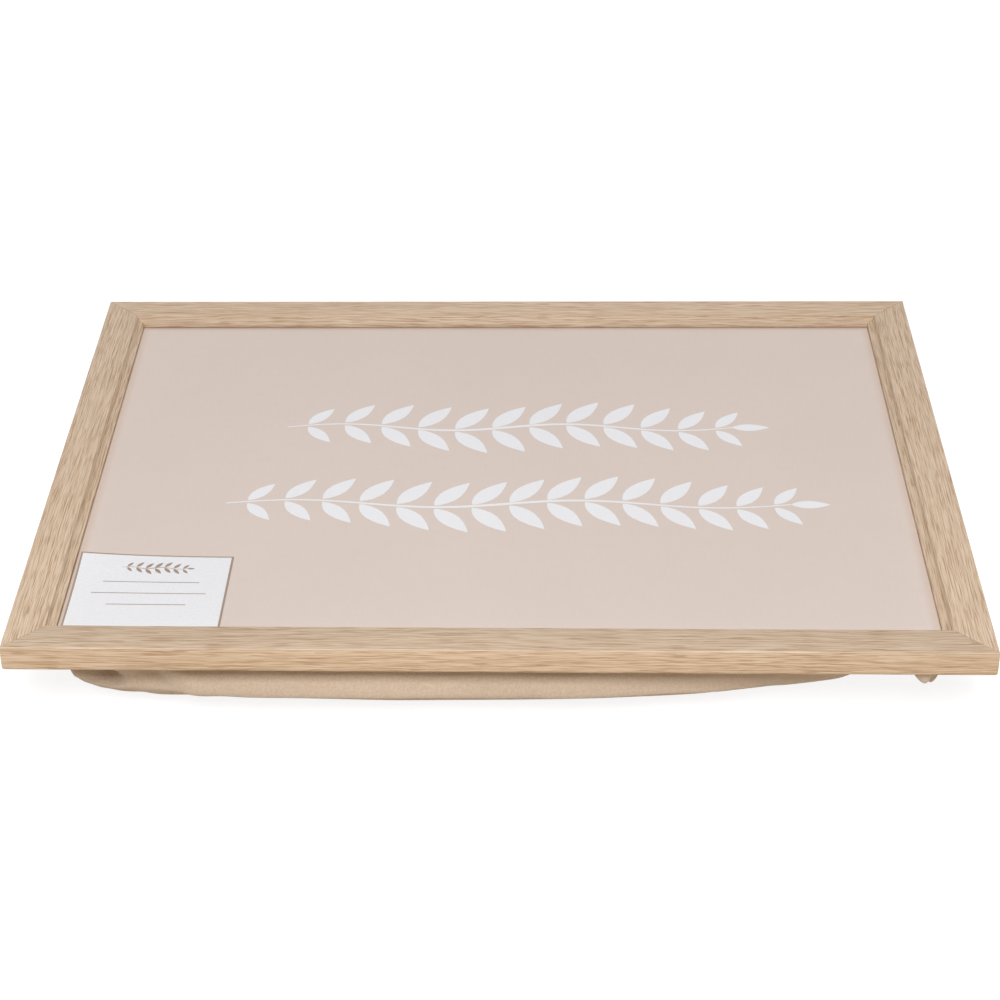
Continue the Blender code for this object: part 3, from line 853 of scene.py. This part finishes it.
def add_leaf(bm, base, angle, length, width):
    """A pointed leaf that grows from a base point."""
    made = bmesh.ops.create_circle(bm, cap_ends=True, segments=LEAF_STEPS, radius=0.5)["verts"]
    for vert in made:
        along = vert.co.x + 0.5
        half = width / 2 * max(0.0, math.sin(math.pi * along ** LEAF_ROOT_POWER)) ** LEAF_EDGE_POWER
        vert.co.y = math.copysign(half, vert.co.y) if vert.co.y else 0.0
        vert.co.x = along * length
    place = Matrix.Translation(base) @ Matrix.Rotation(angle, 4, "Z")
    bmesh.ops.transform(bm, matrix=place, verts=made)


def stem_bend(along, wave):
    """The rise of a garland's stem at a place along it."""
    return wave * math.sin(math.tau * along)


def add_garland(bm, middle, length, leaf, gap, stem):
    """A wavy stem with leaves in pairs, drawn flat."""
    wave = leaf * GARLAND_WAVE_SHARE

    def on_stem(along):
        return Vector((middle[0] + along * length, middle[1] + stem_bend(along * GARLAND_WAVES, wave), 0))

    made = add_grid(bm, STEM_STEPS, 1)
    for vert in made:
        along = vert.co.x
        taper = 1 - STEM_TAPER * abs(along)
        vert.co = on_stem(along) + Vector((0, vert.co.y * stem * taper, 0))
    pairs = int(length / gap)
    for number in range(pairs):
        along = (number + 0.5) / pairs - 0.5
        size = leaf * (1 - LEAF_FALL_SHARE * (2 * abs(along)) ** 3)
        for turn in (1, -1):
            angle = turn * GARLAND_LEAF_ANGLE
            start = on_stem(along) + Vector((stem * math.cos(angle), stem * math.sin(angle), 0))
            add_leaf(bm, start, angle, size, size * LEAF_WIDTH_SHARE)
    last = leaf * LAST_LEAF_SHARE
    add_leaf(bm, on_stem(0.5), 0, last, last * LEAF_WIDTH_SHARE)


def make_motif():
    """Two plain white garlands printed on the panel."""
    bm = bmesh.new()
    for middle, length in GARLANDS:
        add_garland(bm, middle, length, GARLAND_LEAF, GARLAND_GAP, GARLAND_STEM)
    thicken(bm, INK_THICKNESS)
    bmesh.ops.translate(bm, vec=(0, 0, SHEET_TOP + INK_LIFT), verts=bm.verts)
    return finish_piece("panel_garlands", bm, [WHITE_INK], smooth=0)


def make_label_print():
    """A small garland and three plain rules printed on the label."""
    bm = bmesh.new()
    add_garland(bm, *LABEL_GARLAND)
    for y, width in LABEL_RULES:
        made = add_grid(bm, RULE_STEPS, 1)
        bmesh.ops.scale(bm, vec=(width, RULE_THICKNESS, 1), verts=made)
        bmesh.ops.translate(bm, vec=(0, y, 0), verts=made)
    thicken(bm, INK_THICKNESS)
    on_label(bm, LABEL_THICKNESS + INK_LIFT)
    return finish_piece("label_garland", bm, [LABEL_INK], smooth=0)


# Bag

def evaluated_mesh(piece):
    """A piece's mesh with its modifiers applied."""
    depsgraph = bpy.context.evaluated_depsgraph_get()
    return bpy.data.meshes.new_from_object(piece.evaluated_get(depsgraph))


def places(mesh, kind="co"):
    """The places or normals of a mesh's points."""
    values = np.empty(len(mesh.vertices) * 3)
    mesh.vertices.foreach_get(kind, values)
    return values.reshape(-1, 3)


def set_places(mesh, values):
    """Move a mesh's points."""
    mesh.vertices.foreach_set("co", values.ravel())
    mesh.update()


def outward(points):
    """The way out of the tray in plan, turning smoothly at the corners."""
    x = points[:, 0] / BAG_HALF_LENGTH
    y = points[:, 1] / BAG_HALF_DEPTH
    way_x = np.sign(x) * np.abs(x) ** CORNER_POWER
    way_y = np.sign(y) * np.abs(y) ** CORNER_POWER
    way = np.stack([way_x, way_y, np.zeros(len(x))], axis=1)
    return way / np.maximum(np.linalg.norm(way, axis=1), TINY)[:, None]


def bell(distance):
    """1 at nothing, falling smoothly to 0 at 1 and beyond."""
    return np.clip(1 - distance ** 2, 0, 1) ** 2


def below_rim(points):
    """1 on the wall, fading to 0 at the stapled rim."""
    return np.clip((RIM_FROM - points[:, 2]) / RIM_FADE, 0, 1)


def press(points, centre, reach, move):
    """Push the cloth near a point."""
    distance = np.linalg.norm((points - np.array(centre)) / np.array(reach), axis=1)
    return points + (bell(distance) * below_rim(points))[:, None] * np.array(move)


def fold(points, ways, start, end, width, height):
    """Raise a ridge along a line that fades out, or sink a valley where the height is negative."""
    start, end = np.array(start), np.array(end)
    line = end - start
    along = np.clip(((points - start) @ line) / (line @ line), 0, 1)
    distance = np.linalg.norm(points - (start + along[:, None] * line), axis=1) / width
    return points + (bell(distance) * below_rim(points) * (1 - along ** 2) * height)[:, None] * ways


def at_front(points):
    """1 on the front wall, fading to 0 behind it."""
    return np.clip((-points[:, 1] - FRONT_FROM) / FRONT_FADE, 0, 1)


def front_tightness(points):
    """How tight the cloth is along the front, from 0 where it is slack to 1."""
    return np.interp(points[:, 0], *np.array(FRONT_TIGHTNESS).T)


def crease(points):
    """Push the cloth out along the lower front edge, where it is tight."""
    share = at_front(points) * front_tightness(points)
    points[:, 1] -= share * np.interp(points[:, 2], *np.array(FRONT_CREASE).T)
    return points


def wall_slump(points):
    """How far the wall stands out from a plain quarter ellipse. It is slack at the front's two ends."""
    height = points[:, 2]
    down = np.clip(1 - height / FILL_TOP, 0, 1)
    plain = WALL_FALL * (1 - np.sqrt(1 - down ** 2))
    heights, tight, slack = np.array(WALL_SECTION).T
    share = 1 - at_front(points) * (1 - front_tightness(points))
    inset = share * np.interp(height, heights, tight) + (1 - share) * np.interp(height, heights, slack)
    return plain - inset


def smoothed(values, edges, steps):
    """Even out values over the cloth, point by point with their neighbours."""
    count = np.bincount(edges.ravel(), minlength=len(values)).astype(float)
    for _ in range(steps):
        total = np.zeros_like(values)
        np.add.at(total, edges[:, 0], values[edges[:, 1]])
        np.add.at(total, edges[:, 1], values[edges[:, 0]])
        values = 0.5 * values + 0.5 * total / count[:, None]
    return values


def bag_start():
    """The frame's fill grown to the cloth, remeshed and settled, before it is filled."""
    bm = bmesh.new()
    bm.from_mesh(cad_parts["bead_fill"].data)
    bmesh.ops.remove_doubles(bm, verts=bm.verts, dist=MERGE_REACH)
    bag = object_from("bag_filled", bm)
    remesh = bag.modifiers.new("remesh", "REMESH")
    remesh.mode = "VOXEL"
    remesh.voxel_size = VOXEL
    bag.data = evaluated_mesh(bag)
    bag.modifiers.clear()
    points = places(bag.data)
    free = np.clip((FILL_TOP - PINNED_TOP - points[:, 2]) / PIN_FADE, 0, 1)
    points += places(bag.data, "normal") * (CLOTH_GROWTH * free)[:, None]
    shares = np.abs(points[:, :2]) / np.array((BAG_HALF_LENGTH, BAG_HALF_DEPTH))
    on_wall = shares.max(axis=1) > WALL_FROM_SHARE
    points += outward(points) * (wall_slump(points) * free * on_wall)[:, None]
    for centre, reach, move in BAG_PRESSES:
        points = press(points, centre, reach, move)
    set_places(bag.data, points)
    return bag, free


def pin_rim(bag, free):
    """Hold the bag's rim while the rest swells."""
    pins = bag.vertex_groups.new(name="pins")
    for index in np.nonzero(free < 1)[0]:
        pins.add([int(index)], float(1 - free[index]), "REPLACE")


def make_table():
    """The table that the bag swells on. It is taken away afterwards."""
    bm = bmesh.new()
    add_grid(bm, 1, 1, TABLE_REACH)
    table = object_from("table", bm)
    table.modifiers.new("collision", "COLLISION")
    table.collision.thickness_outer = CLOTH_GAP
    table.collision.cloth_friction = TABLE_FRICTION
    return table


def swell(bag):
    """Let the bag swell as slack cloth on a table. Returns how far each point would move."""
    table = make_table()
    cloth = bag.modifiers.new("cloth", "CLOTH")
    for name, value in CLOTH_SETTINGS.items():
        setattr(cloth.settings, name, value)
    cloth.settings.effector_weights.gravity = 0
    cloth.collision_settings.distance_min = CLOTH_GAP
    cloth.point_cache.frame_start = 1
    cloth.point_cache.frame_end = SIM_FRAMES
    for number in range(1, SIM_FRAMES + 1):
        bpy.context.scene.frame_set(number)
    move = places(evaluated_mesh(bag)) - places(bag.data)
    bag.modifiers.clear()
    bpy.data.objects.remove(table)
    bpy.context.scene.frame_set(1)
    return move


def wrinkles(mesh, move):
    """The small part of a move: less of its broad drift, capped, and calm in the middle of the front."""
    edges = np.empty(len(mesh.edges) * 2, dtype=np.int32)
    mesh.edges.foreach_get("vertices", edges)
    drift = smoothed(move, edges.reshape(-1, 2), DRIFT_STEPS)
    small = move - (1 - DRIFT_KEPT_SHARE) * drift
    length = np.linalg.norm(small, axis=1)
    small *= np.minimum(1, MOVE_CAP / np.maximum(length, TINY))[:, None]
    points = places(mesh)
    front = np.clip((-points[:, 1] - CALM_FROM) / CALM_FADE, 0, 1)
    middle = np.clip((CALM_REACH - np.abs(points[:, 0])) / CALM_FADE, 0, 1)
    return small * (1 - CALM_SHARE * front * middle)[:, None]


def fill_bag(bag, free):
    """Wrinkle the settled bag as slack cloth does when it is filled."""
    pin_rim(bag, free)
    move = swell(bag)
    set_places(bag.data, places(bag.data) + wrinkles(bag.data, move))


def cloth_ways(normals):
    """The way in which each point of the cloth bulges: along its normal, but never upwards."""
    ways = normals.copy()
    ways[:, 2] = np.minimum(ways[:, 2], 0)
    return ways / np.maximum(np.linalg.norm(ways, axis=1), TINY)[:, None]


def gather_corner(points, ways, side_x, side_y):
    """Gather the cloth along both sides of a corner."""
    corner = np.array((side_x * BAG_HALF_LENGTH, side_y * BAG_HALF_DEPTH, 0))
    for gap, height in GATHERS:
        for axis in (0, 1):
            start = corner.copy()
            end = corner.copy()
            start[axis] -= math.copysign(gap, start[axis])
            end[axis] -= math.copysign(gap * GATHER_SPREAD + GATHER_RUN, end[axis])
            end[1 - axis] -= math.copysign(GATHER_RUN, end[1 - axis])
            start[2], end[2] = GATHER_TOP, GATHER_END
            points = fold(points, ways, start, end, GATHER_WIDTH, height)
    return points


def pucker(points):
    """Pull the cloth in and out between the staples, under the rim."""
    rise = np.clip((points[:, 2] - PUCKER_FROM) / PUCKER_FADE, 0, 1)
    rise *= np.clip((PUCKER_TO - points[:, 2]) / PUCKER_TOP_FADE, 0, 1)
    way = outward(points)
    along = np.where(np.abs(way[:, 0]) > np.abs(way[:, 1]), points[:, 1], points[:, 0])
    ripple = np.cos(math.tau * along / STAPLE_SPACING)
    return points + way * (PUCKER * rise * ripple)[:, None]


def fold_bag(points, normals):
    """The folds of the front left corner, gathers at the other corners and puckers between staples."""
    ways = cloth_ways(normals)
    for start, end, width, height in FRONT_LEFT_FOLDS:
        points = fold(points, ways, start, end, width, height)
    for side_x, side_y in ((1, -1), (1, 1), (-1, 1)):
        points = gather_corner(points, ways, side_x, side_y)
    return pucker(points)


def map_cloth(mesh):
    """Lay the cloth's thread directions on the mesh, unrolled from the floor up the walls."""
    points = places(mesh)
    flat = points + outward(points) * points[:, 2:3]
    corners = np.empty(len(mesh.loops), dtype=np.int32)
    mesh.loops.foreach_get("vertex_index", corners)
    mesh.uv_layers.new(name="cloth").data.foreach_set("uv", flat[corners, :2].ravel())


def make_bag():
    """The bead-filled bag."""
    bag, free = bag_start()
    fill_bag(bag, free)
    finer = bag.modifiers.new("finer", "SUBSURF")
    finer.levels = 1
    finer.render_levels = 1
    bag.data = evaluated_mesh(bag)
    bag.modifiers.clear()
    bag.vertex_groups.clear()
    points = crease(fold_bag(places(bag.data), places(bag.data, "normal")))
    points[:, 2] = np.clip(points[:, 2], BAG_FLOOR, FILL_TOP)
    set_places(bag.data, points)
    bag.data.shade_smooth()
    map_cloth(bag.data)
    bag.data.materials.clear()
    bag.data.materials.append(BAG_CLOTH)
    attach(bag, "root")
    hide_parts("bag_cover", "bead_fill")
    return bag


def make_tuck(bag):
    """A tuck of spare cloth that hangs at the front right corner."""
    steps_round, steps_down = TUCK_STEPS
    bm = bmesh.new()
    for x, y, width, drop, thickness, lean in TUCK_LOBES:
        made = bmesh.ops.create_uvsphere(bm, u_segments=steps_round, v_segments=steps_down, radius=1)
        for vert in made["verts"]:
            down = max(0.0, -vert.co.z)
            narrow = 1 - TUCK_NARROWING * down ** 2
            vert.co = Vector((
                x + width * vert.co.x * narrow + lean * down,
                y + thickness * vert.co.y * (1 - TUCK_THINNING * down),
                COVER_HIGH.z - TUCK_TOP_GAP + drop * min(vert.co.z, TUCK_TOP_SHARE),
            ))
    layer = bm.loops.layers.uv.new("cloth")
    for face in bm.faces:
        for loop in face.loops:
            loop[layer].uv = (loop.vert.co.x, loop.vert.co.z)
    face_out(bm)
    tuck = finish_piece("corner_tuck", bm, [BAG_CLOTH], smooth=TUCK_SMOOTH_ANGLE)
    tuck.parent = bag
    return tuck


def rounded_ring(share, inset, radius):
    """A plan point on a rounded rectangle inside the tray's edges, and its place along its side."""
    straight_x = HALF_LENGTH - inset - radius
    straight_y = HALF_DEPTH - inset - radius
    turn = share * len(SIDES)
    quarter = int(turn) % len(SIDES)
    part = turn - int(turn)
    half, across = ((straight_x, straight_y), (straight_y, straight_x))[quarter % 2]
    if part < HEM_STRAIGHT_SHARE:
        along = half * (2 * part / HEM_STRAIGHT_SHARE - 1)
        point = Vector((along, -across - radius, 0))
    else:
        bend = (part - HEM_STRAIGHT_SHARE) / (1 - HEM_STRAIGHT_SHARE) * math.pi / 2
        point = Vector((half + radius * math.sin(bend), -across - radius * math.cos(bend), 0))
        along = point.x
    return Matrix.Rotation(quarter * math.pi / 2, 3, "Z") @ point, along


def make_hem(bag):
    """The bag's hem, folded over and stapled under the rails. It puffs down between the staples."""
    rows = len(HEM_SECTION)
    bm = bmesh.new()
    add_grid(bm, HEM_STEPS, rows)
    for vert in bm.verts:
        row = round((vert.co.y + 0.5) * rows) % rows
        share = (vert.co.x + 0.5) % 1.0
        inset, height, puff = HEM_SECTION[row]
        radius = max(HEM_CORNER_RADIUS - (inset - HEM_INSET), HEM_INNER_RADIUS)
        point, along = rounded_ring(share, inset, radius)
        sag = 0.5 - 0.5 * math.cos(math.tau * (along / STAPLE_SPACING - 0.5))
        point.z = height - puff * HEM_PUFF * sag
        vert.co = point
    bmesh.ops.remove_doubles(bm, verts=bm.verts, dist=MERGE_REACH)
    face_out(bm)
    hem = finish_piece("bag_hem", bm, [HEM_CLOTH], smooth=HEM_SMOOTH_ANGLE)
    hem.parent = bag
    return hem


def make_lining():
    """The lining that closes the bag under the board."""
    size = LINING_HIGH - LINING_LOW
    middle = (LINING_HIGH + LINING_LOW) / 2
    bm = bmesh.new()
    add_grid(bm, *LINING_CELLS)
    for vert in bm.verts:
        slack = bell(2 * vert.co.x) * bell(2 * vert.co.y)
        height = LINING_LOW.z + LINING_RISE * slack
        vert.co = Vector((middle.x + vert.co.x * size.x, middle.y + vert.co.y * size.y, height))
    thicken(bm, size.z)
    lining = finish_piece("bag_lining_cloth", bm, [LINING_CLOTH], ["bag_lining"])
    return lining


def make_fasteners():
    """Staples, framer's points and V-nails with their sharp edges taken off."""
    for name, node in list(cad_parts.items()):
        if not name.startswith(("hem_staple", "holding_point", "v_nail")):
            continue
        bm = bmesh.new()
        bm.from_mesh(node.data)
        bmesh.ops.remove_doubles(bm, verts=bm.verts, dist=WIRE_MERGE_REACH)
        bmesh.ops.dissolve_limit(bm, angle_limit=WIRE_FLAT_ANGLE, verts=bm.verts, edges=bm.edges)
        sharp = [edge for edge in bm.edges if edge.calc_face_angle(0.0) > WIRE_SHARP_ANGLE]
        round_edges(bm, sharp, WIRE_EDGE, WIRE_EDGE_STEPS)
        face_out(bm)
        finish_piece(f"{name}_finished", bm, [STEEL], [name])


def floor_material():
    """Pale paper that glows white to the camera and can be seen through from below."""
    material = bpy.data.materials.new("floor_paper")
    material.use_nodes = True
    tree = material.node_tree
    tree.nodes.clear()
    seen = put(tree, "LightPath").outputs["Is Camera Ray"]
    shade = tint(tree, seen, FLOOR_WARM, FLOOR_PLAIN)
    paper = put(tree, "BsdfDiffuse", {"Color": shade}).outputs[0]
    white = put(tree, "Emission", {"Strength": 1.0 + FLOOR_GLOW / FLOOR_PALE}).outputs[0]
    pale = times(tree, seen, FLOOR_PALE)
    lit = put(tree, "MixShader", {0: pale, 1: paper, 2: white}).outputs[0]
    behind = put(tree, "NewGeometry").outputs["Backfacing"]
    clear = put(tree, "BsdfTransparent").outputs[0]
    both = put(tree, "MixShader", {0: behind, 1: lit, 2: clear}).outputs[0]
    put(tree, "OutputMaterial", {"Surface": both})
    return material


def make_floor():
    """The floor under the tray."""
    bm = bmesh.new()
    add_grid(bm, 1, 1, FLOOR_REACH)
    floor = object_from("floor", bm)
    floor.data.materials.append(floor_material())


def make_world():
    """A dim even light that the camera and shiny surfaces see as white."""
    world = bpy.data.worlds.new("soft_room")
    bpy.context.scene.world = world
    world.use_nodes = True
    tree = world.node_tree
    tree.nodes.clear()
    path = put(tree, "LightPath").outputs
    direct = calc(tree, "MAXIMUM", path["Is Camera Ray"], path["Is Glossy Ray"])
    direct = calc(tree, "MAXIMUM", direct, path["Is Transmission Ray"])
    strength = spread(tree, direct, to_low=WORLD_FILL)
    sky = put(tree, "Background", {"Color": PLAIN_WHITE, "Strength": strength}).outputs[0]
    put(tree, "OutputWorld", {"Surface": sky})


def make_lamp(name, place, size, power, glossy):
    """A square soft lamp aimed at the tray."""
    data = bpy.data.lights.new(name, "AREA")
    data.shape = "SQUARE"
    data.size = size
    data.energy = power
    lamp = bpy.data.objects.new(name, data)
    lamp.location = place
    lamp.rotation_euler = (LAMP_TARGET - Vector(place)).to_track_quat("-Z", "Y").to_euler()
    lamp.visible_glossy = glossy
    bpy.context.scene.collection.objects.link(lamp)


def make_camera():
    """The photograph's camera."""
    data = bpy.data.cameras.new("camera")
    data.lens = CAMERA_LENS
    data.sensor_width = CAMERA_SENSOR
    data.shift_x = CAMERA_SHIFT
    camera = bpy.data.objects.new("camera", data)
    up = -CAMERA_DOWN
    back = CAMERA_RIGHT.cross(up)
    turn = Matrix((CAMERA_RIGHT, up, back)).transposed().to_4x4()
    camera.matrix_world = Matrix.Translation(CAMERA_PLACE) @ turn
    bpy.context.scene.collection.objects.link(camera)
    bpy.context.scene.camera = camera


make_camera()
make_floor()
make_world()
for lamp in LAMPS:
    make_lamp(*lamp)

for side_name in SIDES:
    make_rail(side_name)
make_label()
make_label_print()
make_motif()
bag_piece = make_bag()
make_tuck(bag_piece)
hem_piece = make_hem(bag_piece)
make_lining()
make_fasteners()
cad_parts["printed_sheet"].data.materials[0] = PANEL_PRINT
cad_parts["tray_board"].data.materials[0] = RAW_MDF

scene = bpy.context.scene
scene.view_settings.view_transform = "Standard"
